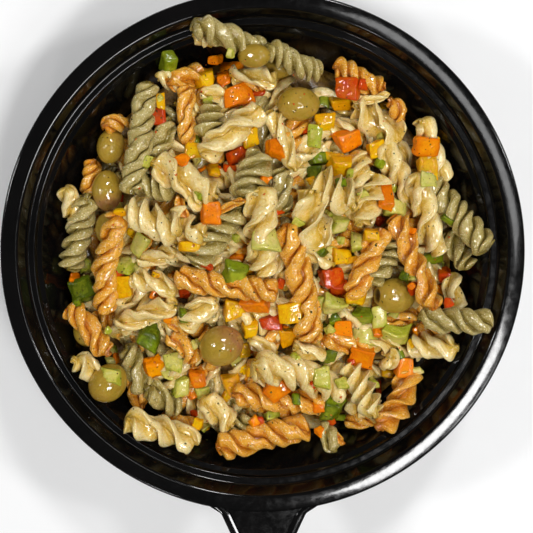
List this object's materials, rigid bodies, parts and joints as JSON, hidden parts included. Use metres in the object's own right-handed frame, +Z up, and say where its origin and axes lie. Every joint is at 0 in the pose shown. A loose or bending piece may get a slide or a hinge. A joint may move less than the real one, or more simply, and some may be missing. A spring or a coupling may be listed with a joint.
{
  "type": "pasta salad in a bowl",
  "caption": "Heap of spiral pasta, diced peppers, celery and green olives in a round black bowl with a stepped rim and a pull tab.",
  "frame": {"origin": "middle of the bowl's underside, on the surface the bowl stands on", "axes": "+Z up out of the bowl; the pull tab reaches out along -Y; +X is to the right when looking down with the tab nearest"},
  "size_m": [0.229, 0.2505, 0.0757],
  "materials": {
    "black_plastic": "glossy, moulded",
    "dressed_pasta": "moist, with a thin oily dressing",
    "green_olive": "smooth and moist"
  },
  "bodies": {
    "root": {"bowl": "black_plastic", "pasta_salad": "dressed_pasta", "olive_1": "green_olive", "olive_2": "green_olive", "olive_3": "green_olive", "olive_4": "green_olive", "olive_5": "green_olive", "olive_6": "green_olive", "olive_7": "green_olive", "olive_8": "green_olive", "olive_9": "green_olive", "olive_10": "green_olive"}
  },
  "joints": []
}
